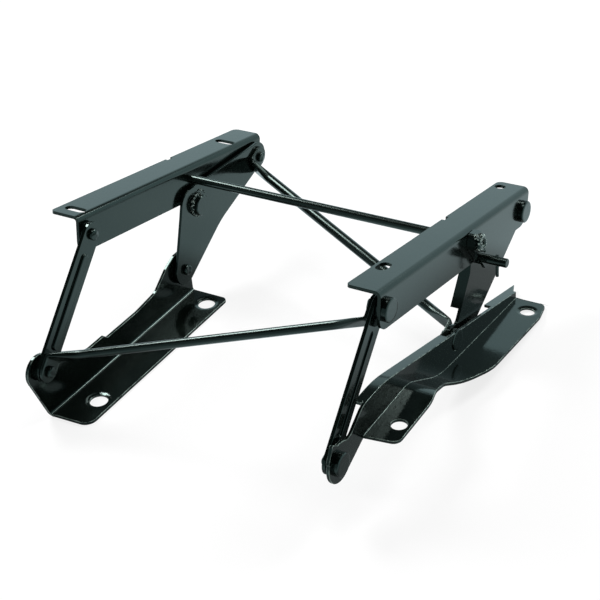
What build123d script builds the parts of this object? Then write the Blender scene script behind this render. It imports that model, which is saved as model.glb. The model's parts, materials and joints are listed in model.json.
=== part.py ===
"""Seat riser: two rails carried by a folding four-bar, in millimetres.

X runs across (left minus, right plus), Y to the rear, Z up. Sizes are worked
out from the front base pivot; the finished parts are moved so that the origin
is the middle of the two left floor bolts, on the underside of the base.
"""
import os
from math import atan2, cos, degrees, radians, sin, tan

from build123d import *

os.makedirs("parts", exist_ok=True)

# Sheet and clearances
SHEET = 3.0
LINK = 3.5
BEND_IN = 2.5
BEND_OUT = BEND_IN + SHEET
PLAY = 0.3
PIN_FIT = 0.06

# Whole frame
SPAN = 303.0
RAIL_LENGTH = 300.0
RAIL_WIDTH = 32.0
RAIL_HEIGHT = 36.0
RAIL_TILT = 10.5
RAIL_AT = (82.7, 163.1)

# Rivets, washers and cross rods
SHANK_R = 4.0
HEAD_R = 10.5
HEAD_H = 5.0
SHOP_R = 5.4
SHOP_H = 4.0
WASHER_R = 12.0
WASHER_H = 2.5
FRONT_ROD_R = 4.0
REAR_ROD_R = 5.0
TAB_W = 21.0
TAB_H = 3.5
TAB_REACH = 12.5
FLARE = 26.0

# Pivots: on the bases, and along and below the rail tops
LEFT_L = 230.0
FRONT_BASE = (0.0, 50.6)
REAR_BASE = (LEFT_L - 14.0, 33.0)
FRONT_TOP_ALONG = (11.0, 18.5)
REAR_TOP_ALONG = (RAIL_LENGTH - 14.0, 20.0)
OPEN_SHIFT = (1.9, -0.25)
OPEN_PLAY = 2.4

# Front links
EYE_R = 11.25
RIB_W = 8.0
RIB_H = 2.0
RIB_SHORT = 38.0

# Latch
SHAFT_ALONG = (172.0, 13.0)
SHAFT_R = 4.25
PIN_R = 4.0
PIN_DROP = RAIL_HEIGHT + PIN_R + PLAY
PIN_LEFT = 176.0
PIN_RIGHT = 198.0
PIN_OUT = 1.5
STOP_R = 10.5
STOP_H = 7.0
ARM_GAP = 0.4
LEVER_W = 8.0
STUB_ALONG = (190.5, 34.7)
STUB_R = 4.25
STUB_L = 20.0
CROSS_PIN_R = 1.5

# Left base
LEFT_W = 42.5
EAR_R = 16.0
EAR_SHIFT = (-2.5, -0.6)
FLOOR_HOLE_R = 8.5
FLOOR_HOLES = (36.0, LEFT_L - 16.0)
FLOOR_HOLE_X = 27.0
DISH_R = 4.5
DISH_H = 1.2

# Right base
LEVEL = 49.5
STEP_AT = 120.2
STEP_END = 176.7
FOOT_END = 348.0
FOOT_SLOPE = 6.1
TONGUE_R = 18.2
TONGUE_SHIFT = (3.2, -1.0)
CREST = (78.0, 78.0)
CREST_FALL = 0.263
LIP_W = 10.0
LIP_START = 46.0
LIP_GAP = (REAR_BASE[0] - 16.0, REAR_BASE[0] + 79.0)
SIDE_HOLE_R = 7.0
SIDE_HOLE_FRONT = (19.5, 66.0)
SIDE_HOLE_REAR = (20.5, 328.0)

RIGHT = SPAN + SHEET
STACK = WASHER_H + PLAY
LINK_IN = STACK + LINK
PLATE_IN = STACK + SHEET
ORIGIN = (FLOOR_HOLE_X, sum(FLOOR_HOLES) / 2, -SHEET)


def along(a, d):
    """Side-view place of a point a along the rail and d below its top."""
    t = radians(RAIL_TILT)
    y = RAIL_AT[0] + a * cos(t) - d * sin(t)
    return (y, RAIL_AT[1] - a * sin(t) - d * cos(t))


FRONT_TOP = along(*FRONT_TOP_ALONG)
REAR_TOP = along(*REAR_TOP_ALONG)
OPEN_HOLE = (REAR_TOP[0] + OPEN_SHIFT[0], REAR_TOP[1] + OPEN_SHIFT[1])
SHAFT = along(*SHAFT_ALONG)


# Shared helpers
def around(pivot, rows):
    """Rows given from a pivot, turned into side-view places."""
    return [(pivot[0] + u, pivot[1] + v, r) for u, v, r in rows]


def outline(rows):
    """Flat face from (u, v, corner radius) rows."""
    flat = make_face(Polyline(*[(u, v) for u, v, _ in rows], close=True))
    for u, v, r in rows:
        if r:
            spot = Vector(u, v)
            corner = min(flat.vertices(), key=lambda p: (Vector(p) - spot).length)
            flat = fillet(corner, r)
    return flat


def side(rows, x0, x1):
    """Side-view outline made solid from x0 to x1."""
    return extrude(Plane.YZ.offset(x0) * outline(rows), x1 - x0)


def plan(rows, z0, z1):
    """Plan-view outline made solid from z0 to z1."""
    return extrude(Plane.XY.offset(z0) * outline(rows), z1 - z0)


def disc(r, x0, x1, at):
    """Cylinder across the frame, centred on a side-view point."""
    place = Pos((x0 + x1) / 2, at[0], at[1]) * Rot(0, 90, 0)
    return place * Cylinder(r, x1 - x0)


def across(solid):
    """The same piece on the right-hand side."""
    return mirror(solid, Plane.YZ.offset(SPAN / 2))


def round_edge(solid, axis, point, radius):
    """Fillet the straight edge along an axis that passes nearest a point."""
    spot = Vector(*point)
    edges = solid.edges().filter_by(axis)
    edge = min(edges, key=lambda e: (e.center() - spot).length)
    return fillet(edge, radius)


def strip(rows, thick):
    """Rows of a bent sheet seen edge on: upper line, then underside."""
    spots = [Vector(u, v) for u, v, _ in rows]
    under = []
    for i, spot in enumerate(spots):
        before = (spot - spots[max(i - 1, 0)]) or (spots[1] - spot)
        after = (spots[min(i + 1, len(spots) - 1)] - spot)
        before = before.normalized() if i else after.normalized()
        after = after.normalized() if i + 1 < len(spots) else before
        middle = (before + after).normalized()
        reach = thick / middle.dot(before)
        turn = thick if before.cross(after).Z > 0 else -thick
        radius = rows[i][2] + turn if rows[i][2] else 0
        under.append((spot.X + middle.Y * reach, spot.Y - middle.X * reach, radius))
    return rows, under[::-1]


def save(name, solid):
    """Write one piece, moved to the shared origin."""
    moved = Pos(-ORIGIN[0], -ORIGIN[1], -ORIGIN[2]) * solid
    export_step(moved, "parts/" + name + ".step")


# Rails
def on_rail():
    """Frame of the left rail: Y along it, Z square to its top."""
    return Pos(0, RAIL_AT[0], RAIL_AT[1]) * Rot(-RAIL_TILT, 0, 0)


def rail_blank():
    """Angle section with rounded ends, web face on X = 0, top on Z = 0."""
    section = outline([
        (0, 0, BEND_OUT),
        (0, -RAIL_HEIGHT, 0),
        (-SHEET, -RAIL_HEIGHT, 0),
        (-SHEET, -SHEET, BEND_IN),
        (-RAIL_WIDTH, -SHEET, 0),
        (-RAIL_WIDTH, 0, 0),
    ])
    rail = extrude(Plane.XZ * section, -RAIL_LENGTH)
    low = (-SHEET / 2, -RAIL_HEIGHT)
    rim = (-RAIL_WIDTH, -SHEET / 2)
    rail = round_edge(rail, Axis.X, (low[0], 0, low[1]), 12)
    rail = round_edge(rail, Axis.X, (low[0], RAIL_LENGTH, low[1]), 16)
    rail = round_edge(rail, Axis.Z, (rim[0], 0, rim[1]), 4)
    rail = round_edge(rail, Axis.Z, (rim[0], RAIL_LENGTH, rim[1]), 6)
    return rail - Pos(-RAIL_WIDTH, 179, 0) * Box(6, 8, 3 * SHEET)


def rail_pivots():
    """Pivot, shaft and open holes through a web, in place."""
    cuts = disc(SHANK_R + PIN_FIT, -9, 3, FRONT_TOP)
    cuts += disc(SHAFT_R + PIN_FIT, -9, 3, SHAFT)
    return cuts + disc(SHANK_R + OPEN_PLAY, -9, 3, OPEN_HOLE)


def rail_left():
    """Left rail with its two cross slots."""
    rail = rail_blank()
    for a in (15, 256):
        rail -= Pos(-15, a, -2 * SHEET) * extrude(SlotOverall(22.6, 10), 9)
    return on_rail() * rail - rail_pivots()


def rail_right():
    """Right rail with one long slot and one round hole."""
    slot = extrude(Rot(0, 0, 90) * SlotOverall(18, 10.5), 9)
    rail = rail_blank() - Pos(-24, 49, -2 * SHEET) * slot
    rail -= Pos(-24, 286, 0) * Cylinder(5.25, 3 * SHEET)
    return Pos(RIGHT, 0, 0) * (on_rail() * rail - rail_pivots())


# Rivets and washers, built on the left
def rivet(at, head_x, shop_x):
    """Flat-headed rivet: big head outboard, formed head inboard."""
    head = disc(HEAD_R, head_x - HEAD_H, head_x, at)
    head = chamfer(head.edges().group_by(Axis.X)[0], 0.6)
    shop = disc(SHOP_R, shop_x, shop_x + SHOP_H, at)
    shop = chamfer(shop.edges().group_by(Axis.X)[-1], 1.2)
    return head + disc(SHANK_R, head_x, shop_x, at) + shop


def washer(at, x0):
    """Plain spacer washer."""
    ring = disc(WASHER_R, x0, x0 + WASHER_H, at)
    return ring - disc(SHANK_R + PIN_FIT, x0 - 1, x0 + WASHER_H + 1, at)


# Front links, built on the left
def strap_place(x):
    """Plane of a front link at x, its own X running from pivot to pivot."""
    low, high = Vector(*FRONT_BASE), Vector(*FRONT_TOP)
    lean = degrees(atan2(high.Y - low.Y, high.X - low.X))
    middle = (low + high) / 2
    return Plane.YZ.offset(x) * Pos(middle.X, middle.Y) * Rot(0, 0, lean)


def front_link():
    """Round-ended strap with a pressed rib on its inner face."""
    length = (Vector(*FRONT_TOP) - Vector(*FRONT_BASE)).length
    rib = length - RIB_SHORT
    strap = extrude(strap_place(STACK) * SlotCenterToCenter(length, 2 * EYE_R), LINK)
    bead = extrude(strap_place(LINK_IN) * SlotOverall(rib, RIB_W), RIB_H)
    bead = fillet(bead.edges().group_by(Axis.X)[-1], 1.3)
    groove = extrude(strap_place(STACK) * SlotOverall(rib - 3, RIB_W - 3), RIB_H)
    strap = strap + bead - groove
    for at in (FRONT_BASE, FRONT_TOP):
        strap -= disc(SHANK_R + PIN_FIT, 0, 20, at)
    return strap


# Cross rods
def rod(start, end, x0, radius):
    """Rod from a left pivot to a right one, forged flat at both ends."""
    a = Vector(x0 + TAB_H / 2, *start)
    b = Vector(SPAN - x0 - TAB_H / 2, *end)
    lean = Vector(0, b.Y - a.Y, b.Z - a.Z).normalized()
    knee = a + lean * TAB_REACH
    run = (a + b) / 2 - knee
    square = Vector(1, 0, 0).cross(lean)
    flat = Plane(a - Vector(TAB_H / 2, 0, 0), x_dir=lean, z_dir=(1, 0, 0))
    eye = Circle(TAB_W / 2) + Pos(TAB_REACH / 2, 0) * Rectangle(TAB_REACH, TAB_W)
    wide = Plane(knee, x_dir=square, z_dir=run) * Rectangle(TAB_W, TAB_H)
    neck = Plane(knee + run.normalized() * FLARE, x_dir=square, z_dir=run) * Circle(radius)
    half = extrude(flat * eye, TAB_H) + loft([wide, neck])
    half += extrude(neck, run.length - FLARE)
    half += Plane(knee, x_dir=run, z_dir=square) * Cylinder(TAB_H / 2, TAB_W - 0.4)
    whole = half + half.rotate(Axis((a + b) / 2, square), 180)
    whole -= disc(SHANK_R + PIN_FIT, x0 - 5, x0 + 9, start)
    return whole - disc(SHANK_R + PIN_FIT, SPAN - x0 - 9, SPAN - x0 + 5, end)


# Rear plates
def rear_plate(front, top, back, ear):
    """Triangular plate on the left: edges from the lower, upper, lower pivot."""
    rows = around(REAR_BASE, front) + around(REAR_TOP, top) + around(REAR_BASE, back)
    plate = side(rows, STACK, PLATE_IN)
    plate += disc(15, STACK, PLATE_IN, REAR_TOP)
    plate += disc(ear, STACK, PLATE_IN, REAR_BASE)
    for at in (REAR_BASE, REAR_TOP):
        plate -= disc(SHANK_R + PIN_FIT, 0, 20, at)
    return plate


def pin_hole(a):
    """Cut for a lock pin set below the rail."""
    return disc(PIN_R + PIN_FIT, 0, 20, along(a, PIN_DROP))


def rear_plate_left():
    """Flat plate with a rounded upper front corner."""
    front = [(-15.8, 2.0, 0), (3.5, 56.0, 60), (11.5, 80.2, 17)]
    top = [(-1.2, 14.9, 0), (-4.5, -14.3, 0)]
    back = [(68, 21.5, 90), (6.7, -14.5, 0)]
    return rear_plate(front, top, back, 16) - pin_hole(PIN_LEFT)


def rear_plate_right():
    """Broader plate whose front edge is bent inward as a stiffening flange."""
    front = [(-3, 12.6, 0), (13, 8, 6), (41, 46, 0), (46, 68, 0), (48, 79, 4)]
    top = [(-1.2, 14.9, 0), (14, -5.4, 0), (9, -17.2, 10)]
    back = [(44, -14.8, 14), (3, -12.6, 0)]
    plate = rear_plate(front, top, back, 13) - pin_hole(PIN_RIGHT)
    edge = [(21, 18.9, 0), (41, 46, 0), (45, 63.6, 0), (48, 62.9, 0), (43.9, 45, 0), (23.4, 17.1, 0)]
    flange = side(around(REAR_BASE, edge), STACK, STACK + 11)
    return across(plate + flange)


def lock_pin(a, stop_r):
    """Pin set in a rear plate: the rail's lower edge rests just above it."""
    at = along(a, PIN_DROP)
    pin = disc(PIN_R, -SHEET - PIN_OUT, PLATE_IN, at)
    stop = disc(stop_r, PLATE_IN, PLATE_IN + STOP_H, at)
    stop = chamfer(stop.edges().group_by(Axis.X)[-1], 0.8)
    return chamfer(pin.edges().group_by(Axis.X)[0], 0.8) + stop


# Left base
def dish(r):
    """Shallow dished rim round a hole, cut from the top face."""
    return Pos(0, 0, -DISH_H / 2) * Cone(r, r + DISH_R, DISH_H)


def base_left():
    """Angle base: floor flange, and a web with an ear at each pivot."""
    section = outline([
        (-SHEET, -SHEET, BEND_OUT),
        (LEFT_W, -SHEET, 0),
        (LEFT_W, 0, 0),
        (0, 0, BEND_IN),
        (0, 75, 0),
        (-SHEET, 75, 0),
    ])
    blank = Pos(0, -30, 0) * extrude(Plane.XZ * section, -300)
    rows = [(0, -SHEET, 0), (LEFT_L, -SHEET, 0)]
    rows += around(REAR_BASE, [(14, 19.5, 16), (-9, 19.5, 12), (-25, 12, 12), (-45, -2.5, 14)])
    rows += around(FRONT_BASE, [(140, -23.6, 40), (92, -23.6, 2), (87, -19.1, 2)])
    rows += around(FRONT_BASE, [(62, -19.1, 14), (4.3, 13.9, 0), (-17.0, -7.4, 0)])
    ear = (FRONT_BASE[0] + EAR_SHIFT[0], FRONT_BASE[1] + EAR_SHIFT[1])
    web = side(rows, -SHEET, BEND_IN) + disc(EAR_R, -SHEET, BEND_IN, ear)
    floor = [(-SHEET, 0, 0), (LEFT_W, 2, 11), (LEFT_W, LEFT_L, 6), (-SHEET, LEFT_L, 0)]
    base = blank & (web + plan(floor, -SHEET, BEND_IN))
    for y in FLOOR_HOLES:
        base -= Pos(FLOOR_HOLE_X, y, 0) * (Cylinder(FLOOR_HOLE_R, 9) + dish(FLOOR_HOLE_R))
    for at in (FRONT_BASE, REAR_BASE):
        base -= disc(SHANK_R + PIN_FIT, -9, 9, at)
    return base


# Right base
def foot_height(y):
    """Top of the flange's sloping run, whose end stands on the floor."""
    slope = radians(FOOT_SLOPE)
    return SHEET * (cos(slope) - 1) + (FOOT_END - y) * tan(slope)


def foot_rows():
    """Upper line of the stepped flange, from the front to the floor."""
    low = foot_height(STEP_END)
    end = foot_height(FOOT_END)
    return [(40, LEVEL, 0), (STEP_AT, LEVEL, 40), (STEP_END, low, 90), (FOOT_END, end, 0)]


def crest(y):
    """Height of the straight run of the web's top edge."""
    return CREST[1] - (y - CREST[0]) * CREST_FALL


def base_right():
    """Stepped flange, tall web with a tongue, and a lip folded inward."""
    top, under = strip(foot_rows(), SHEET)
    flange = side(top + under, SPAN, RIGHT + 40)
    flange &= plan([
        (SPAN, 40, 0), (RIGHT + 30, 44.5, 8), (RIGHT + 30, STEP_AT - 14, 60),
        (RIGHT + 15.5, STEP_AT + 38, 24), (RIGHT + 36, STEP_END + 37, 60),
        (RIGHT + 36, FOOT_END - 26, 40), (RIGHT + 31, FOOT_END, 7), (SPAN, FOOT_END, 0),
    ], -9, 60)
    rows = around(FRONT_BASE, [(11, -17, 0)]) + under[::-1]
    rows += [(FOOT_END, crest(FOOT_END), 0), (*CREST, 120), (44, CREST[1], 20)]
    rows += around(FRONT_BASE, [(22, 13.4, 6), (8, 12, 1.5), (-6, 22.8, 2), (-14.5, 8, 0)])
    tongue = (FRONT_BASE[0] + TONGUE_SHIFT[0], FRONT_BASE[1] + TONGUE_SHIFT[1])
    web = side(rows, SPAN, RIGHT) + disc(TONGUE_R, SPAN, RIGHT, tongue)
    base = flange + web + base_lip()
    hole = Cylinder(SIDE_HOLE_R, 30)
    x, y = SIDE_HOLE_FRONT
    base -= Pos(RIGHT + x, y, LEVEL) * hole
    x, y = SIDE_HOLE_REAR
    tilted = Pos(RIGHT + x, y, foot_height(y)) * Rot(-FOOT_SLOPE, 0, 0)
    base -= tilted * (hole + dish(SIDE_HOLE_R))
    for at in (FRONT_BASE, REAR_BASE):
        base -= disc(SHANK_R + PIN_FIT, SPAN - 9, RIGHT + 9, at)
    return base


def base_lip():
    """Lip along the web's top edge, open where the rear plate passes."""
    end = FOOT_END + 24
    rows = [(LIP_START, CREST[1], 0), (*CREST, 120), (end, crest(end), 0)]
    top, under = strip(rows, SHEET)
    inner = RIGHT - LIP_W
    lip = side(top + under, inner, SPAN)
    lip &= plan([
        (inner, LIP_START, 3), (SPAN, LIP_START - 1, 0),
        (SPAN, FOOT_END, 0), (inner, FOOT_END + 18, 0),
    ], -9, 90)
    middle = sum(LIP_GAP) / 2
    gap = Box(2 * (LIP_W - SHEET), LIP_GAP[1] - LIP_GAP[0], 90)
    return lip - Pos(inner, middle, 50) * gap


# Latch
def shaft():
    """Cross shaft turning in both rail webs."""
    return disc(SHAFT_R, -SHEET - ARM_GAP - 5, RIGHT + LEVER_W + 1.5, SHAFT)


def lever():
    """Release lever on the shaft's right end: front wall and outer plate."""
    face = RIGHT + LEVER_W - SHEET
    front = [(179, -34, 0), (161.5, -17, 9), (160.5, -3, 4), (174, -2.4, 0)]
    top, under = strip(front, SHEET)
    wall = side(top + under, RIGHT + ARM_GAP, face)
    plate = side(front[2:1:-1] + front[1:2] + [
        (189, -43.5, 1.5), (204, -40.5, 4), (226, -43, 3), (230, -38, 4),
        (226, -33, 5), (195, -16, 20), (175, -2.4, 4),
    ], face, RIGHT + LEVER_W)
    placed = on_rail() * (wall + plate)
    return placed - disc(SHAFT_R + PIN_FIT, SPAN, RIGHT + 40, SHAFT)


def left_arm():
    """Catch arm on the shaft's left end, beside the web."""
    x1 = -SHEET - ARM_GAP
    rows = [(165.5, -17, 0), (174, -34, 3), (184, -34, 3), (179, -16, 0)]
    arm = on_rail() * side(rows, x1 - SHEET, x1) + disc(8, x1 - SHEET, x1, SHAFT)
    return arm - disc(SHAFT_R + PIN_FIT, -20, 0, SHAFT)


def stub():
    """Short round handle on the lever, bored for its cross pin."""
    at = along(*STUB_ALONG)
    x0 = RIGHT + LEVER_W
    bar = disc(STUB_R, x0, x0 + STUB_L, at)
    bar = chamfer(bar.edges().group_by(Axis.X)[-1], 0.6)
    return bar - cross_place() * Cylinder(CROSS_PIN_R + PIN_FIT, 2 * STUB_R + 2)


def cross_place():
    """Middle of the cross pin, on the stub's axis."""
    at = along(*STUB_ALONG)
    return Pos(RIGHT + LEVER_W + 0.5 * STUB_L, at[0], at[1])


def cross_pin():
    """Pin through the stub, hanging below it."""
    return cross_place() * Pos(0, 0, -5) * Cylinder(CROSS_PIN_R, 22)


def weld():
    """Weld bead round the shaft end on the lever's outer plate."""
    at = along(*SHAFT_ALONG)
    x0 = RIGHT + LEVER_W
    ring = disc(SHAFT_R + 4, x0, x0 + 2.8, at)
    ring = chamfer(ring.edges().group_by(Axis.X)[-1], 1.6)
    return ring - disc(SHAFT_R + PIN_FIT, RIGHT, RIGHT + 40, at)


# Pieces
save("base_left", base_left())
save("base_right", base_right())
save("rail_left", rail_left())
save("rail_right", rail_right())
save("front_link_left", front_link())
save("front_link_right", across(front_link()))
save("front_rod", rod(FRONT_BASE, FRONT_TOP, LINK_IN, FRONT_ROD_R))
save("rear_plate_left", rear_plate_left())
save("rear_plate_right", rear_plate_right())
save("rear_rod", rod(REAR_TOP, REAR_BASE, PLATE_IN, REAR_ROD_R))

TAB = TAB_H + PLAY
RIVETS = {
    "front_base_left": (FRONT_BASE, -SHEET, LINK_IN + TAB),
    "front_base_right": (FRONT_BASE, -SHEET, LINK_IN + PLAY),
    "rear_base_left": (REAR_BASE, -SHEET, PLATE_IN + PLAY),
    "rear_base_right": (REAR_BASE, -SHEET, PLATE_IN + TAB),
    "front_top_left": (FRONT_TOP, -SHEET, LINK_IN + PLAY),
    "front_top_right": (FRONT_TOP, -SHEET, LINK_IN + TAB),
    "rear_top_left": (REAR_TOP, -SHEET - PLAY, PLATE_IN + TAB_H),
    "rear_top_right": (REAR_TOP, -SHEET - PLAY, PLATE_IN),
}
for place, (at, head_x, shop_x) in RIVETS.items():
    hand = across if place.endswith("right") else lambda solid: solid
    start = PLAY if place.startswith("rear_top") else 0
    save("rivet_" + place, hand(rivet(at, head_x, shop_x)))
    save("washer_" + place, hand(washer(at, start)))

save("lock_pin_left", lock_pin(PIN_LEFT, STOP_R))
save("lock_pin_right", across(lock_pin(PIN_RIGHT, SHOP_R)))
save("cross_shaft", shaft())
save("release_lever", lever())
save("left_arm", left_arm())
save("lever_stub", stub())
save("lever_cross_pin", cross_pin())
save("lever_weld", weld())
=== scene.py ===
"""Seat riser: black paint, rolled edges, forged rods, rivets, washers and welds.

Everything is in metres in the part's own frame: X across with the lever on the
plus side, Y to the rear, Z up, the origin under the two left floor bolts.
"""

import json
from math import pi, radians, tau

import bmesh
import bpy
import numpy as np
from bpy.props import FloatProperty, FloatVectorProperty, IntProperty, PointerProperty
from mathutils import Matrix, Vector

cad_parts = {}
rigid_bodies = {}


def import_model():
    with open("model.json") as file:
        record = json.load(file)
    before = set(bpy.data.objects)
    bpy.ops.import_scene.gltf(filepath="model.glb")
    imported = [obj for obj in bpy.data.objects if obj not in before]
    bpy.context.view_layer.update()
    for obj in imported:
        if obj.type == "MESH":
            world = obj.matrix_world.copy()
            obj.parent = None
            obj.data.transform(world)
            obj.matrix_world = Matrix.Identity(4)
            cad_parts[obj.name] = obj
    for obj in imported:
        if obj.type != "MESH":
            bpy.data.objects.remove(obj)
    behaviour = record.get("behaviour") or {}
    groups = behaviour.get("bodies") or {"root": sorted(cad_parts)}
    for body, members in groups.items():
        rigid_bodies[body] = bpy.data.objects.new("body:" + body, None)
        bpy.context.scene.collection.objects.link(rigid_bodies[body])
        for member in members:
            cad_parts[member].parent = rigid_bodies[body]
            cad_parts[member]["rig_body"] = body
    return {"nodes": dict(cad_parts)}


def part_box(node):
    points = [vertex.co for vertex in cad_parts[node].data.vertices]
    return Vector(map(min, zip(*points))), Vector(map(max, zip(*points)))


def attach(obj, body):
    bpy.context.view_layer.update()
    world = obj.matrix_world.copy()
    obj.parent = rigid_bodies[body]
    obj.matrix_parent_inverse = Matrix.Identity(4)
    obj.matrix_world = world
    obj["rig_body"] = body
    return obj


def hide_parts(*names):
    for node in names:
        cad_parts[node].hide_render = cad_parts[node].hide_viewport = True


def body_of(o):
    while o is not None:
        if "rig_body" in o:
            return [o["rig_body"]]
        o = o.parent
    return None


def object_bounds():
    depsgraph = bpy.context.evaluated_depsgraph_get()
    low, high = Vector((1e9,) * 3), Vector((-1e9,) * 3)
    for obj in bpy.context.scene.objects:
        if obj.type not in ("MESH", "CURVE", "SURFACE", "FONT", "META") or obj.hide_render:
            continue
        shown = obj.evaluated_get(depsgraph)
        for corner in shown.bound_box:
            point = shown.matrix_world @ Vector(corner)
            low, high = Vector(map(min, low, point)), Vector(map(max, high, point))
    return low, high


bl_info = {
    "name": "Seat riser looks",
    "version": (1, 0, 0),
    "blender": (4, 5, 0),
    "location": "View3D > Sidebar > Seat riser",
    "description": "Paint, sheets, rods, rivets, washers and welds of a folding seat riser",
    "category": "Object",
}

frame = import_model()
CAD_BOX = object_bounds()
NODES = frame["nodes"]
WHITE = (1.0, 1.0, 1.0, 1.0)
GLOSS_WHITE = (0.72, 0.95, 1.0, 1.0)  # the white room as gloss shows it, a little blue


# Shader arithmetic
class Wire:
    """A node's output that takes plain arithmetic; each step adds a Math node."""

    def __init__(self, paint, socket):
        self.paint = paint
        self.socket = socket

    def step(self, operation, *values):
        """One Math node over the given values or wires."""
        return self.paint.node("ShaderNodeMath", {"operation": operation}, *values)

    def __add__(self, other):
        return self.step("ADD", self, other)

    __radd__ = __add__

    def __sub__(self, other):
        return self.step("SUBTRACT", self, other)

    def __rsub__(self, other):
        return self.step("SUBTRACT", other, self)

    def __mul__(self, other):
        return self.step("MULTIPLY", self, other)

    __rmul__ = __mul__

    def size(self):
        """The value without its sign."""
        return self.step("ABSOLUTE", self)

    def between(self, low, high):
        """0 below low, 1 above high, smooth in between."""
        node = self.paint.raw("ShaderNodeMapRange", {"interpolation_type": "SMOOTHSTEP"})
        self.paint.feed(node.inputs["Value"], self)
        node.inputs["From Min"].default_value = low
        node.inputs["From Max"].default_value = high
        return Wire(self.paint, node.outputs["Result"])


class Paint:
    """One material and its node tree."""

    def __init__(self, name):
        self.material = bpy.data.materials.new(name)
        self.material.use_nodes = True
        self.tree = self.material.node_tree
        self.shader = self.tree.nodes["Principled BSDF"]
        spot = self.raw("ShaderNodeTexCoord", {})
        self.place = Wire(self, spot.outputs["Object"])

    def raw(self, kind, settings):
        """A bare node with its settings made first."""
        node = self.tree.nodes.new(kind)
        for key, value in settings.items():
            setattr(node, key, value)
        return node

    def feed(self, socket, value):
        """Link a wire to a socket, or set a plain value on it."""
        if isinstance(value, Wire):
            self.tree.links.new(value.socket, socket)
        else:
            socket.default_value = value

    def node(self, kind, settings, *values, **named):
        """Any node's first output: settings, then values or wires for its sockets."""
        node = self.raw(kind, settings)
        for i, value in enumerate(values):
            self.feed(node.inputs[i], value)
        for key, value in named.items():
            self.feed(node.inputs[key.replace("_", " ")], value)
        return Wire(self, node.outputs[0])

    def noise(self, scale, detail=2.0, rough=0.5, place=None):
        """Soft noise from 0 to 1; scale is in waves per metre."""
        return self.node(
            "ShaderNodeTexNoise", {}, Vector=place or self.place,
            Scale=scale, Detail=detail, Roughness=rough)

    def stretched(self, size):
        """Object coordinates scaled by three numbers, for a pattern along a piece."""
        return self.node("ShaderNodeMapping", {}, Vector=self.place, Scale=size)

    def blend(self, share, first, second):
        """Mix of two colours, each four numbers or a wire."""
        node = self.raw("ShaderNodeMix", {"data_type": "RGBA"})
        self.feed(node.inputs[0], share)
        self.feed(node.inputs[6], first)
        self.feed(node.inputs[7], second)
        return Wire(self, node.outputs[2])

    def bump(self, height, strength, distance):
        """Bump from a height wire into the shader's Normal."""
        made = self.node(
            "ShaderNodeBump", {}, Height=height, Strength=strength, Distance=distance)
        self.feed(self.shader.inputs["Normal"], made)

    def set(self, **values):
        """Fill the shader's sockets by name."""
        for key, value in values.items():
            self.feed(self.shader.inputs[key.replace("_", " ")], value)


# Mesh helpers
def surface(name, rings, closed_ends=True):
    """Mesh from rings of points: an array (rings, points, 3), closed round each ring.

    Point j of ring i joins point j + 1 of the same ring and point j of ring i + 1.
    With closed_ends, one face each closes the first and last rings.
    """
    rings = np.asarray(rings, float)
    m, n = rings.shape[:2]
    i, j = np.meshgrid(np.arange(m - 1), np.arange(n), indexing="ij")
    k = (j + 1) % n
    quads = np.stack([i * n + j, i * n + k, (i + 1) * n + k, (i + 1) * n + j], -1)
    faces = quads.reshape(-1, 4).tolist()
    if closed_ends:
        faces.append(list(range(n))[::-1])
        faces.append(list(range((m - 1) * n, m * n)))
    mesh = bpy.data.meshes.new(name)
    mesh.from_pydata(rings.reshape(-1, 3).tolist(), [], faces)
    return settle(mesh)


def settle(mesh):
    """Merge doubles, turn every face outwards and shade smooth."""
    work = bmesh.new()
    work.from_mesh(mesh)
    bmesh.ops.remove_doubles(work, verts=work.verts, dist=1e-6)
    bmesh.ops.recalc_face_normals(work, faces=work.faces)
    work.to_mesh(mesh)
    work.free()
    mesh.polygons.foreach_set("use_smooth", np.ones(len(mesh.polygons), bool))
    mesh.update()
    return mesh


def add_piece(name, mesh, paint, body, sharp=None):
    """Object at the origin that rides on a body and takes one of the paints."""
    piece = bpy.data.objects.new(name, mesh)
    bpy.context.scene.collection.objects.link(piece)
    mesh.materials.clear()
    mesh.materials.append(bpy.data.materials[paint])
    if sharp:
        mesh.set_sharp_from_angle(angle=radians(sharp))
    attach(piece, body)
    return piece


def joined(name, meshes):
    """One mesh holding several."""
    work = bmesh.new()
    for mesh in meshes:
        work.from_mesh(mesh)
    made = bpy.data.meshes.new(name)
    work.to_mesh(made)
    work.free()
    made.polygons.foreach_set("use_smooth", np.ones(len(made.polygons), bool))
    return made


def middle(node):
    """Middle of a CAD node's box."""
    low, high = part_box(node)
    return (np.array(low) + np.array(high)) / 2


def ripple(a, b, seed, waves=6):
    """Smooth pseudo-random field: a sum of sines of a and b with seeded phases."""
    rng = np.random.default_rng(seed)
    total = np.zeros(np.broadcast(a, b).shape)
    for _ in range(waves):
        u, v = rng.uniform(-1, 1, 2)
        total = total + np.sin(a * u + b * v + rng.uniform(0, tau))
    return total / np.sqrt(waves)


# Sizes and colours a user would change
class RiserRods(bpy.types.PropertyGroup):
    """Sizes of the two tie rods."""

    front: FloatProperty(
        name="Front rod radius", description="Radius of the front tie rod",
        default=0.004, subtype="DISTANCE")
    rear: FloatProperty(
        name="Rear rod radius", description="Radius of the rear tie rod",
        default=0.005, subtype="DISTANCE")
    tab: FloatProperty(
        name="Tab width", description="Width of the forged ends",
        default=0.021, subtype="DISTANCE")
    thick: FloatProperty(
        name="Tab thickness", description="Thickness of the forged ends",
        default=0.0035, subtype="DISTANCE")
    reach: FloatProperty(
        name="Tab reach", description="From the rivet to the bend",
        default=0.0125, subtype="DISTANCE")
    flare: FloatProperty(
        name="Flare", description="Length over which the end turns round",
        default=0.032, subtype="DISTANCE")


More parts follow.
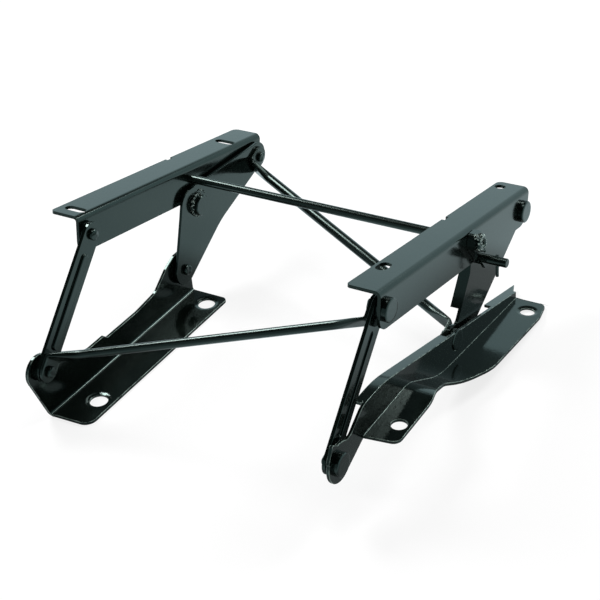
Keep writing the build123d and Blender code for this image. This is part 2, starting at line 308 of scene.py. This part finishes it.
class RiserRivets(bpy.types.PropertyGroup):
    """Sizes of the rivets."""

    head: FloatProperty(
        name="Head radius", description="Radius of the outboard head",
        default=0.0105, subtype="DISTANCE")
    height: FloatProperty(
        name="Head height", description="Height of the outboard head",
        default=0.005, subtype="DISTANCE")
    shank: FloatProperty(
        name="Shank radius", description="Radius of the shank",
        default=0.004, subtype="DISTANCE")
    shop: FloatProperty(
        name="Formed head radius", description="Radius of the inboard head",
        default=0.0054, subtype="DISTANCE")
    washer: FloatProperty(
        name="Washer radius", description="Radius of the washers",
        default=0.0098, subtype="DISTANCE")
    dents: FloatProperty(
        name="Dents", description="Depth of the hammer marks on formed heads",
        default=0.0006, subtype="DISTANCE")


class RiserWelds(bpy.types.PropertyGroup):
    """Sizes of the weld beads."""

    bead: FloatProperty(
        name="Bead radius", description="Radius of a weld bead",
        default=0.0024, subtype="DISTANCE")
    lumps: FloatProperty(
        name="Lumps", description="Height of the lumps as a share of the radius",
        default=0.34, min=0.0, max=1.0, subtype="FACTOR")
    seed: IntProperty(
        name="Lump pattern", description="Another number gives other lumps", default=7)


class RiserPaint(bpy.types.PropertyGroup):
    """Look of the paint."""

    colour: FloatVectorProperty(
        name="Paint colour", description="Colour of the black paint",
        default=(0.0013, 0.0024, 0.0018), size=3, min=0.0, max=1.0, subtype="COLOR")
    sheen: FloatVectorProperty(
        name="Thin paint colour", description="Colour where the coat is thin",
        default=(0.0034, 0.0054, 0.0044), size=3, min=0.0, max=1.0, subtype="COLOR")
    # Painted highlight: this pale colour goes on the bases' rolled edges and stands in for the
    # bright lines of light along them.
    worn: FloatVectorProperty(
        name="Edge colour", description="Colour where the coat is thin along the bases' edges",
        default=(0.15, 0.19, 0.17), size=3, min=0.0, max=1.0, subtype="COLOR")
    # Painted highlights: this pale colour goes on the welds in small flecks and stands in for
    # glints off their lumps.
    fleck: FloatVectorProperty(
        name="Weld flecks", description="Colour of the bare flecks on welds",
        default=(0.34, 0.42, 0.38), size=3, min=0.0, max=1.0, subtype="COLOR")
    rough: FloatProperty(
        name="Paint roughness", description="Roughness of the paint",
        default=0.13, min=0.0, max=1.0, subtype="FACTOR")
    peel: FloatProperty(
        name="Orange peel", description="Strength of the paint's fine waves",
        default=0.07, min=0.0, max=1.0, subtype="FACTOR")


class RiserStage(bpy.types.PropertyGroup):
    """Light and floor."""

    key: FloatProperty(
        name="Left light", description="Power of the soft light high at the left",
        default=27.0, min=0.0, subtype="POWER")
    back: FloatProperty(
        name="Back light", description="Power of the small light behind",
        default=14.0, min=0.0, subtype="POWER")
    top: FloatProperty(
        name="Top light", description="Power of the soft light overhead",
        default=6.0, min=0.0, subtype="POWER")
    room: FloatProperty(
        name="Room light", description="Strength of the even light all round",
        default=0.36, min=0.0)


def rgba(colour):
    """A colour property as four numbers."""
    return (*colour, 1.0)


# Paints: pattern scales are in waves per metre
CLOUDS, WAVES, GRAIN, SPECKS = 34, 260, 700, 1500
SPECK_COLOUR = (0.08, 0.1, 0.09, 1)
GLOSS_TINT = (0.72, 1.0, 0.92, 1.0)
BUMP_DEPTH = 0.0006


def coat(name, look, rough=0.0, peel=1.0, marks=None):
    """Black gloss paint: two near-black tones in clouds, uneven gloss, fine waves.

    marks is a wire of extra height, such as hammering, added to the waves.
    """
    paint = Paint(name)
    clouds = paint.noise(CLOUDS, 3, 0.55)
    grain = paint.noise(GRAIN, 2, 0.6)
    thin = (0.8 * clouds + 0.2 * grain).between(0.42, 0.74)
    colour = paint.blend(thin, rgba(look.colour), rgba(look.sheen))
    specks = paint.noise(SPECKS, 1, 0.4).between(0.8, 0.83)
    colour = paint.blend(specks * 0.2, colour, SPECK_COLOUR)
    gloss = look.rough + rough + 0.07 * (clouds - 0.5) + 0.05 * (grain - 0.5)
    paint.set(Base_Color=colour, Roughness=gloss + 0.12 * specks)
    paint.set(Specular_IOR_Level=0.5, Specular_Tint=GLOSS_TINT)
    height = 0.8 * paint.noise(WAVES, 2, 0.5) + 0.2 * grain
    if marks:
        height = height + marks(paint)
    paint.bump(height, look.peel * peel, BUMP_DEPTH)
    return paint


def drawn_marks(paint):
    """Long faint lines along a drawn rod."""
    lines = paint.stretched((14, 300, 300))
    return 0.4 * paint.noise(1, 2, 0.6, lines)


def hammer_marks(paint):
    """Small flats from hammering."""
    cells = paint.node("ShaderNodeTexVoronoi", {}, Vector=paint.place, Scale=520.0)
    return 0.9 * cells


def weld_marks(paint):
    """Coarse ripples and fine droplets on a weld."""
    return 1.6 * paint.noise(1100, 3, 0.7) + 0.8 * paint.noise(330, 2, 0.6)


def glint_flecks(paint, look):
    """Painted highlights: bright flecks on a weld that stand in for the glints off its lumps."""
    glinting = paint.noise(620, 2, 0.5).between(0.56, 0.6)
    paint.set(Base_Color=paint.blend(glinting, rgba(look.colour), rgba(look.fleck)))


def stamped_marks(paint):
    """Faint press and roll marks along the length of a sheet."""
    lines = paint.stretched((240, 12, 240))
    return 0.2 * paint.noise(1, 2, 0.5, lines)


class RISER_OT_paints(bpy.types.Operator):
    """Mix the paints of the sheet, rods, fasteners and welds"""

    bl_idname = "riser.paints"
    bl_label = "Paints"

    def execute(self, context):
        look = context.scene.riser_paint
        coat("sheet paint", look, marks=stamped_marks)
        coat("rail paint", look, rough=0.02, marks=stamped_marks)
        coat("link paint", look, rough=-0.02, peel=0.8)
        coat("rod paint", look, rough=0.1, peel=0.02, marks=drawn_marks)
        coat("rivet paint", look, rough=0.02, peel=1.6, marks=hammer_marks)
        coat("washer paint", look, rough=0.06)
        # Painted highlight: the edge paint mixes in the pale edge glint colour in patches, for
        # bright lines along the bases' edges.
        edge = coat("edge glint paint", look, rough=0.1)
        thin = edge.noise(150).between(0.3, 0.6)
        edge.set(Base_Color=edge.blend(thin, rgba(look.sheen), rgba(look.worn)))
        # The weld paint gets painted highlights: pale flecks that stand in for glints.
        glint_flecks(coat("weld paint", look, rough=-0.05, peel=2.2, marks=weld_marks), look)
        return {"FINISHED"}


# Pressed sheet
SHEET_PAINT = {
    "base_left": "sheet paint", "base_right": "sheet paint",
    "rail_left": "rail paint", "rail_right": "rail paint",
    "front_link_left": "link paint", "front_link_right": "link paint",
    "rear_plate_left": "sheet paint", "rear_plate_right": "sheet paint",
    "release_lever": "sheet paint", "left_arm": "sheet paint",
}
CARRIED_PAINT = {
    "cross_shaft": "rod paint", "lever_stub": "rod paint", "lever_cross_pin": "rod paint",
    "lock_pin_left": "rivet paint", "lock_pin_right": "rivet paint",
}
ROLLED = 0.0005  # rounding of a sheet's edges
FOLD = radians(40)  # a sharper turn than this counts as an edge


def softened(name):
    """A CAD sheet's copy: merged, flats made whole, edges rolled over by a bevel."""
    mesh = NODES[name].data.copy()
    work = bmesh.new()
    work.from_mesh(mesh)
    bmesh.ops.remove_doubles(work, verts=work.verts, dist=2e-6)
    flat = radians(0.6)
    bmesh.ops.dissolve_limit(work, angle_limit=flat, verts=work.verts, edges=work.edges)
    bmesh.ops.recalc_face_normals(work, faces=work.faces)
    work.to_mesh(mesh)
    work.free()
    mesh.polygons.foreach_set("use_smooth", np.ones(len(mesh.polygons), bool))
    return mesh


class RISER_OT_sheets(bpy.types.Operator):
    """Roll over the edges of the bases, rails, links, plates and lever"""

    bl_idname = "riser.sheets"
    bl_label = "Pressed sheet"

    def execute(self, context):
        for name, paint in SHEET_PAINT.items():
            piece = add_piece(
                name + "_sheet", softened(name), paint, body_of(NODES[name])[0])
            edge = piece.modifiers.new("rolled edge", "BEVEL")
            edge.width = ROLLED
            edge.segments = 2
            edge.limit_method = "ANGLE"
            edge.angle_limit = FOLD
            # The bases' bevel faces take the edge glint paint, a painted highlight along their
            # edges.
            if name.startswith("base_"):
                edge.use_clamp_overlap = False
                piece.data.materials.append(bpy.data.materials["edge glint paint"])
                edge.material = 1
            even = piece.modifiers.new("even flats", "WEIGHTED_NORMAL")
            even.mode = "FACE_AREA"
            even.weight = 100
            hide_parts(name)
        return {"FINISHED"}


class RISER_OT_carried(bpy.types.Operator):
    """Paint the pins, the stub and the shaft, which keep their CAD shape"""

    bl_idname = "riser.carried"
    bl_label = "Pins and shaft"

    def execute(self, context):
        for name, paint in CARRIED_PAINT.items():
            mesh = NODES[name].data
            mesh.materials.clear()
            mesh.materials.append(bpy.data.materials[paint])
        return {"FINISHED"}


# Forged rods
def rod_rings(start, end, x0, x1, radius, sizes):
    """Rings of a rod forged flat at both ends, as an array (rings, points, 3).

    The path runs flat along the tab to the bend, turns there on a small arc and goes
    straight to the far tab. Each ring is a superellipse |u/w|^k + |v/h|^k = 1: u is
    square to the tab and to X, v is the path's normal. w falls from half the tab to
    the rod's radius, h rises to it and k falls from 8 to 2 as the flare goes by; over
    the tab's end w follows the half circle. The far half is the near one turned by
    half a turn about u through the rod's middle.
    """
    a = np.array([x0, *start])
    b = np.array([x1, *end])
    lean = np.array([0, b[1] - a[1], b[2] - a[2]])
    lean = lean / np.linalg.norm(lean)
    square = np.cross([1.0, 0, 0], lean)
    knee = a + lean * sizes.reach
    far = b - lean * sizes.reach
    run = (far - knee) / np.linalg.norm(far - knee)
    half = np.linalg.norm(far - knee) / 2
    arc = 0.0028
    round_end = -sizes.tab / 2 * np.cos(np.linspace(0, pi / 2, 12)[:-1] * 0.995)
    flat = np.linspace(0, sizes.reach - arc, 6)
    bend = np.linspace(0, 1, 9)[1:-1]
    flaring = np.linspace(arc, sizes.flare, 26)
    out = np.concatenate([flaring, np.linspace(sizes.flare, half, 12)[1:]])
    tab_part = a + np.concatenate([round_end, flat])[:, None] * lean
    from_knee = knee - lean * arc
    to_knee = knee + run * arc
    t = bend[:, None]
    arc_part = (1 - t) ** 2 * from_knee + 2 * t * (1 - t) * knee + t ** 2 * to_knee
    run_part = knee + out[:, None] * run
    path = np.concatenate([tab_part, arc_part, run_part])
    along = np.zeros(len(path))
    along[len(tab_part) + len(arc_part):] = out
    share = np.clip((along - arc) / (sizes.flare - arc), 0, 1)
    ease = share * share * (3 - 2 * share)
    wide = sizes.tab / 2 + (radius - sizes.tab / 2) * ease
    deep = sizes.thick / 2 + (radius - sizes.thick / 2) * ease ** 0.8
    power = 8 + (2 - 8) * ease ** 0.5
    ends = len(round_end)
    wide[:ends] = np.sqrt(np.maximum((sizes.tab / 2) ** 2 - round_end ** 2, 1e-8))
    tangent = np.gradient(path, axis=0)
    tangent = tangent / np.linalg.norm(tangent, axis=1)[:, None]
    normal = np.cross(tangent, square)
    angle = np.linspace(0, tau, 40, endpoint=False) + tau / 80
    c, s = np.cos(angle), np.sin(angle)
    exponent = 2 / power[:, None]
    u = wide[:, None] * np.sign(c) * np.abs(c) ** exponent
    v = deep[:, None] * np.sign(s) * np.abs(s) ** exponent
    near = path[:, None] + u[..., None] * square + v[..., None] * normal[:, None]
    centre = (a + b) / 2
    spin = near - centre
    spin = 2 * (spin @ square)[..., None] * square - spin + centre
    return np.concatenate([near, spin[::-1]])


class RISER_OT_rods(bpy.types.Operator):
    """Forge the front and rear tie rods"""

    bl_idname = "riser.rods"
    bl_label = "Tie rods"

    def execute(self, context):
        sizes = context.scene.riser_rods
        pairs = {
            "front_rod": ("front_base_left", "front_top_right", sizes.front, "front_links"),
            "rear_rod": ("rear_top_left", "rear_base_right", sizes.rear, "rear_links"),
        }
        for name, (start, end, radius, body) in pairs.items():
            low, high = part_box(name)
            x0, x1 = low[0] + sizes.thick / 2, high[0] - sizes.thick / 2
            rings = rod_rings(
                middle("washer_" + start)[1:], middle("washer_" + end)[1:], x0, x1, radius, sizes)
            piece = add_piece(
                name + "_forged", surface(name, rings), "rod paint", body, 38)
            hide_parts(name)
        return {"FINISHED"}


# Rivets and washers
LOW_HEADS = {  # shares of the outboard head's radius kept and of its height cut away
    "rivet_front_top_left": (0.6, 0.36), "rivet_rear_base_right": (1.0, 0.8),
}
HEAD_RIM = 0.0007  # rounding of the outboard head's rim
TAIL = 0.004  # length of the formed head
CROWN = 0.0016  # rounding of its rim


def turned(rows, centre, side, dents=None, seed=0, count=56):
    """Rings of a shape turned about X: rows of (distance along the axis, radius).

    side is 1 for a piece whose rows run towards plus X, and -1 the other way. dents
    (depth, from row) pushes later rows in by a seeded ripple of angle and radius.
    """
    rows = np.asarray(rows, float)
    angle = np.linspace(0, tau, count, endpoint=False)
    reach = np.repeat(rows[:, :1], count, 1)
    radius = np.repeat(rows[:, 1:], count, 1)
    if dents:
        depth, first = dents
        turn = angle[None] * np.ones_like(radius)
        wave = ripple(np.cos(turn) * radius * 900, np.sin(turn) * radius * 900, seed)
        fade = (np.arange(len(rows)) >= first)[:, None]
        reach = reach - fade * depth * (0.5 + 0.5 * wave)
        radius = radius * (1 + fade * 0.05 * ripple(np.cos(turn) * 3, np.sin(turn) * 3, seed + 1))
    x = centre[0] + side * reach
    y = centre[1] + radius * np.cos(angle)
    z = centre[2] + radius * np.sin(angle)
    return np.stack([x, y, z], -1)


def corner(at, radius, edge, steps=5):
    """Rows rounding a turned shape's rim from (at - edge, radius) to (at, radius - edge)."""
    t = np.linspace(0, pi / 2, steps)
    return [(at - edge + edge * np.sin(q), radius - edge + edge * np.cos(q)) for q in t]


def flat_rows(at, radius, steps=6):
    """Rows that close a turned shape's end from a radius to its middle."""
    return [(at, radius * q) for q in np.linspace(1, 0.02, steps + 1)[1:]]


class RISER_OT_rivets(bpy.types.Operator):
    """Turn the eight rivets and dent their formed heads; two outer heads are low ones"""

    bl_idname = "riser.rivets"
    bl_label = "Rivets"

    def execute(self, context):
        sizes = context.scene.riser_rivets
        names = [name for name in NODES if name.startswith("rivet_")]
        for i, name in enumerate(sorted(names)):
            low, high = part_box(name)
            length = high[0] - low[0]
            side = -1 if name.endswith("right") else 1
            x = high[0] if side < 0 else low[0]
            _, y, z = middle(name)
            share, cut = LOW_HEADS.get(name, (1.0, 0.0))
            head, top = sizes.head * share, sizes.height * cut
            rows = [(top, head * q) for q in np.linspace(0.02, 0.9, 6)]
            rows += [(top + 0.0002, head * 0.955), (top + HEAD_RIM, head), (sizes.height, head)]
            rows += [(sizes.height, sizes.shank), (length - TAIL, sizes.shank)]
            first = len(rows)
            rows += [(length - TAIL, sizes.shop), (length - 0.0022, sizes.shop)]
            rows += corner(length - 0.0002, sizes.shop, CROWN)
            rows += flat_rows(length - 0.0001, sizes.shop - CROWN)
            rings = turned(rows, (x, y, z), side, (sizes.dents, first + 2), 11 + i)
            piece = add_piece(
                name + "_formed", surface(name, rings), "rivet paint",
                body_of(NODES[name])[0], 32)
            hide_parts(name)
        return {"FINISHED"}


class RISER_OT_washers(bpy.types.Operator):
    """Turn the eight washers between the pivots' sheets"""

    bl_idname = "riser.washers"
    bl_label = "Washers"

    def execute(self, context):
        sizes = context.scene.riser_rivets
        outer, inner, edge = sizes.washer, sizes.shank + 0.0002, 0.0004
        for name in sorted(name for name in NODES if name.startswith("washer_")):
            low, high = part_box(name)
            thick = high[0] - low[0]
            near = corner(thick, outer, edge)
            rows = [(thick - at, radius) for at, radius in near[::-1]] + near
            rows = [(0, inner), *rows, (thick, inner), (0, inner)]
            rings = turned(rows, (low[0], *middle(name)[1:]), 1)
            piece = add_piece(
                name + "_ring", surface(name, rings, False), "washer paint",
                body_of(NODES[name])[0], 32)
            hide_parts(name)
        return {"FINISHED"}


# Welds
SEAM = np.array([[0.0010, 0.1146, 0.1345], [0.0012, 0.1310, 0.1112]])  # X from the lever's face


def drop(centre, radius, seed, m=9, n=14):
    """Rings of a drop of weld metal round a centre.

    It is a sphere of angles t (from the X axis) and p (round it) whose radius is
    R * (1 + 0.2 * ripple), a little flattened along X.
    """
    t = np.linspace(0.08, pi - 0.08, m)[:, None]
    p = np.linspace(0, tau, n, endpoint=False)[None]
    x, y, z = np.cos(t) + 0 * p, np.sin(t) * np.cos(p), np.sin(t) * np.sin(p)
    swell = radius * (1 + 0.2 * ripple(2.6 * y + x, 2.6 * z - x, seed))
    return np.asarray(centre) + np.stack([0.8 * x, y, z], -1) * swell[..., None]


def drops(path, radius, seed, share=0.45):
    """Meshes of lumpy drops along a path; sizes and offsets come from the seed."""
    rng = np.random.default_rng(seed)
    made = []
    for i, spot in enumerate(path):
        size = radius * rng.uniform(share, 1)
        shift = rng.uniform(-0.5, 0.5, 3) * radius * (0.5, 1, 1)
        made.append(surface("drop", drop(spot + shift, size, seed + i)))
    return made


def bead(path, radius, lumps, seed, count=24):
    """Rings of a weld bead along a path of points (n, 3).

    The radius is R * (1 + lumps * (0.6 * |sin(pi * s / 2R)| + 0.4 * ripple - 0.3)): s is
    the distance along the path, so the bead shows overlapping drops; its ends taper.
    """
    path = np.asarray(path, float)
    step = np.linalg.norm(np.diff(path, axis=0), axis=1)
    s = np.concatenate([[0], np.cumsum(step)])
    tangent = np.gradient(path, axis=0)
    tangent = tangent / np.linalg.norm(tangent, axis=1)[:, None]
    normal = np.cross(tangent, [1.0, 0.02, 0.03])
    normal = normal / np.linalg.norm(normal, axis=1)[:, None]
    other = np.cross(tangent, normal)
    angle = np.linspace(0, tau, count, endpoint=False)
    humps = np.abs(np.sin(pi * s / (2 * radius)))[:, None]
    rough = ripple(s[:, None] / radius * 2.2, 2.4 * np.cos(angle - 0.7)[None], seed)
    taper = np.minimum(1, np.minimum(s, s[-1] - s) / (1.4 * radius))[:, None]
    taper = np.sqrt(np.clip(taper, 0.004, 1))
    r = radius * taper * (1 + lumps * (0.6 * humps + 0.4 * rough) - 0.3 * lumps)
    c, q = np.cos(angle), np.sin(angle)
    around = normal[:, None] * c[None, :, None] + other[:, None] * q[None, :, None]
    return path[:, None] + r[..., None] * around


def arc_path(centre, radius, start, stop, x, count=70):
    """Points of an arc in a side-view plane, angles in degrees from the rear."""
    t = np.radians(np.linspace(start, stop, count))
    return np.stack(
        [np.full(count, x), centre[1] + radius * np.cos(t), centre[2] + radius * np.sin(t)], -1)


class RISER_OT_welds(bpy.types.Operator):
    """Run the weld beads on the lever's shaft and round the left lock pin"""

    bl_idname = "riser.welds"
    bl_label = "Welds"

    def execute(self, context):
        sizes = context.scene.riser_welds
        r, lumps, seed = sizes.bead, sizes.lumps, sizes.seed
        shaft = middle("cross_shaft")
        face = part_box("lever_weld")[0][0]
        ring = bead(arc_path(shaft, 0.0058, 20, 400, face + 0.0008), r, lumps, seed)
        upper, lower = SEAM + [face, 0, 0]
        share = np.linspace(0, 1, 15)[:, None]
        meshes = [surface("ring", ring)]
        meshes += drops(upper + (lower - upper) * share, 1.15 * r, seed + 1)
        meshes += drops(arc_path(shaft, 0.0052, 40, 250, face + 0.0014, 9), r, seed + 40)
        piece = add_piece(
            "lever_weld_bead", joined("lever weld", meshes), "weld paint", "latch")
        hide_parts("lever_weld")
        stop = middle("lock_pin_left")
        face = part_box("rear_plate_left")[1][0]
        ring = bead(arc_path(stop, 0.0106, 60, 300, face + 0.0007), 0.7 * r, lumps, seed)
        meshes = [surface("ring", ring)]
        meshes += drops(arc_path(stop, 0.0110, 70, 250, face + 0.0022, 14), 1.05 * r, seed + 80)
        meshes += drops(arc_path(stop, 0.0148, 25, 80, face + 0.0003, 6), 0.5 * r, seed + 120)
        add_piece(
            "stop_weld", joined("stop weld", meshes), "weld paint", "rear_links")
        return {"FINISHED"}


# Stage
AIM = (0.13, 0.05, 0.08)  # the spot that every light looks at
FLOOR_REACH = 3.0
FLOOR_GAP = 0.0002  # from the floor to the lowest point of the part


def soft_light(name, place, size, power):
    """Square area light that looks from a place to the aim."""
    lamp = bpy.data.lights.new(name, "AREA")
    lamp.shape = "SQUARE"
    lamp.size = size
    lamp.energy = power
    light = bpy.data.objects.new(name, lamp)
    bpy.context.scene.collection.objects.link(light)
    look = Vector(AIM) - Vector(place)
    turn = look.to_track_quat("-Z", "Y").to_matrix().to_4x4()
    light.matrix_world = Matrix.Translation(place) @ turn


def room_light(strength):
    """Even world light; the camera sees plain white and reflections a backdrop.

    The backdrop that gloss shows is white below the horizon and just above it, dark
    higher up and dimmer towards the front.
    """
    world = bpy.data.worlds.new("studio")
    world.use_nodes = True
    tree = world.node_tree
    back = tree.nodes["Background"]

    def node(kind, **settings):
        made = tree.nodes.new(kind)
        for key, value in settings.items():
            setattr(made, key, value)
        return made

    ray = node("ShaderNodeLightPath")
    spot = node("ShaderNodeTexCoord")
    way = node("ShaderNodeSeparateXYZ")
    tree.links.new(spot.outputs["Generated"], way.inputs[0])
    backdrop = node("ShaderNodeMath", operation="MULTIPLY")
    ramps = {"Z": (0.45, 0.525, 1.0, 0.07), "Y": (-0.5, 0.1, 0.4, 1.0)}
    for i, (axis, values) in enumerate(ramps.items()):
        ramp = node("ShaderNodeMapRange", interpolation_type="SMOOTHSTEP")
        for key, value in zip(("From Min", "From Max", "To Min", "To Max"), values):
            ramp.inputs[key].default_value = value
        tree.links.new(way.outputs[axis], ramp.inputs["Value"])
        tree.links.new(ramp.outputs["Result"], backdrop.inputs[i])
    glossy = node("ShaderNodeMix")
    glossy.inputs["A"].default_value = strength
    tree.links.new(ray.outputs["Is Glossy Ray"], glossy.inputs["Factor"])
    tree.links.new(backdrop.outputs[0], glossy.inputs["B"])
    seen = node("ShaderNodeMix")
    seen.inputs["B"].default_value = 1.0
    tree.links.new(ray.outputs["Is Camera Ray"], seen.inputs["Factor"])
    tree.links.new(glossy.outputs["Result"], seen.inputs["A"])
    hue = node("ShaderNodeMix", data_type="RGBA")
    hue.inputs[6].default_value, hue.inputs[7].default_value = WHITE, GLOSS_WHITE
    tree.links.new(ray.outputs["Is Glossy Ray"], hue.inputs[0])
    tree.links.new(hue.outputs[2], back.inputs["Color"])
    tree.links.new(seen.outputs["Result"], back.inputs["Strength"])
    bpy.context.scene.world = world


def floor_paint():
    """White floor: the camera and reflections see it near white, with a soft shadow.

    Reflections see it darken close to each base and towards the front: painted shade in its glow,
    for glossy rays only.
    """
    paint = Paint("studio floor")
    tree = paint.tree
    rays = tree.nodes.new("ShaderNodeLightPath")
    glossy = Wire(paint, rays.outputs["Is Glossy Ray"])
    seen = glossy.step("MAXIMUM", Wire(paint, rays.outputs["Is Camera Ray"]), glossy)
    spot = paint.raw("ShaderNodeSeparateXYZ", {})
    paint.feed(spot.inputs[0], paint.place)
    x, y = Wire(paint, spot.outputs["X"]), Wire(paint, spot.outputs["Y"])
    # Painted shade: glossy rays see the floor's glow dimmed near each base and towards the front,
    # standing in for shade on the floor round and in front of the object.
    away = 1.0
    for name in ("base_left", "base_right"):
        low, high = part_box(name)
        side = (x - (low[0] + high[0]) / 2).size() - (high[0] - low[0]) / 2
        end = (y - (low[1] + high[1]) / 2).size() - (high[1] - low[1]) / 2
        off = side.step("MAXIMUM", side, end)
        away = away * off.between(0.02, 0.085)
    glow = tree.nodes.new("ShaderNodeEmission")
    paint.feed(glow.inputs["Color"], paint.blend(glossy, WHITE, GLOSS_WHITE))
    away = away * (0.35 + 0.65 * y.between(-0.5, -0.1))
    paint.feed(glow.inputs["Strength"], 1 - glossy * (1 - away) * 0.85)
    mix = tree.nodes.new("ShaderNodeMixShader")
    tint = paint.blend(paint.noise(3.0), (0.86, 0.86, 0.86, 1), (0.9, 0.9, 0.9, 1))
    paint.set(Base_Color=tint, Roughness=0.9, Specular_IOR_Level=0.0)
    paint.feed(mix.inputs[0], seen * 0.8)
    tree.links.new(paint.shader.outputs[0], mix.inputs[1])
    tree.links.new(glow.outputs[0], mix.inputs[2])
    tree.links.new(mix.outputs[0], tree.nodes["Material Output"].inputs["Surface"])
    return paint


def make_camera():
    """The camera, at the photographed viewing angle."""
    lens = bpy.data.cameras.new("camera")
    lens.lens = 84.56
    lens.sensor_width = 36
    camera = bpy.data.objects.new("camera", lens)
    across = Vector((0.855454, 0.511777, -0.079265))
    up = Vector((-0.222291, 0.501103, 0.836351))
    turn = Matrix((across, up, across.cross(up))).transposed().to_4x4()
    camera.matrix_world = Matrix.Translation((0.746267, -0.854892, 0.770164)) @ turn
    bpy.context.scene.collection.objects.link(camera)
    bpy.context.scene.camera = camera


class RISER_OT_stage(bpy.types.Operator):
    """Set up the floor, the soft lights and the camera"""

    bl_idname = "riser.stage"
    bl_label = "Stage"

    def execute(self, context):
        stage = context.scene.riser_stage
        context.scene.view_settings.view_transform = "Standard"
        room_light(stage.room)
        soft_light("left light", (-1.06, 0.32, 1.41), 0.62, stage.key)
        soft_light("back light", (0.64, 1.17, 1.24), 0.5, stage.back)
        soft_light("top light", (0.0, 0.3, 1.7), 0.6, stage.top)
        low = CAD_BOX[0][2] - FLOOR_GAP
        corners = ((-1, -1), (1, -1), (1, 1), (-1, 1))
        mesh = bpy.data.meshes.new("floor")
        mesh.from_pydata(
            [(FLOOR_REACH * x, FLOOR_REACH * y, low) for x, y in corners], [], [(0, 1, 2, 3)])
        mesh.materials.append(floor_paint().material)
        floor = bpy.data.objects.new("floor", mesh)
        context.scene.collection.objects.link(floor)
        make_camera()
        return {"FINISHED"}


class RISER_PT_panel(bpy.types.Panel):
    """Lists the sizes, the paint and the pieces"""

    bl_idname = "RISER_PT_panel"
    bl_label = "Seat riser"
    bl_space_type = "VIEW_3D"
    bl_region_type = "UI"
    bl_category = "Seat riser"

    def draw(self, context):
        for key, group in GROUPS.items():
            box = self.layout.box()
            for prop in group.__annotations__:
                box.prop(getattr(context.scene, key), prop)
        for tool in TOOLS:
            self.layout.operator(tool.bl_idname)


GROUPS = {
    "riser_rods": RiserRods, "riser_rivets": RiserRivets, "riser_welds": RiserWelds,
    "riser_paint": RiserPaint, "riser_stage": RiserStage,
}
TOOLS = [
    RISER_OT_stage, RISER_OT_paints, RISER_OT_carried, RISER_OT_sheets,
    RISER_OT_rods, RISER_OT_rivets, RISER_OT_washers, RISER_OT_welds,
]


def register():
    """Register the groups, operators and panel."""
    for key, group in GROUPS.items():
        bpy.utils.register_class(group)
        setattr(bpy.types.Scene, key, PointerProperty(type=group))
    for tool in [*TOOLS, RISER_PT_panel]:
        bpy.utils.register_class(tool)


def unregister():
    """Take the panel, operators and groups away again."""
    for tool in [RISER_PT_panel, *TOOLS[::-1]]:
        bpy.utils.unregister_class(tool)
    for key, group in GROUPS.items():
        delattr(bpy.types.Scene, key)
        bpy.utils.unregister_class(group)


def main():
    register()
    for tool in TOOLS:
        family, call = tool.bl_idname.split(".")
        getattr(getattr(bpy.ops, family), call)()


if __name__ == "__main__":
    main()
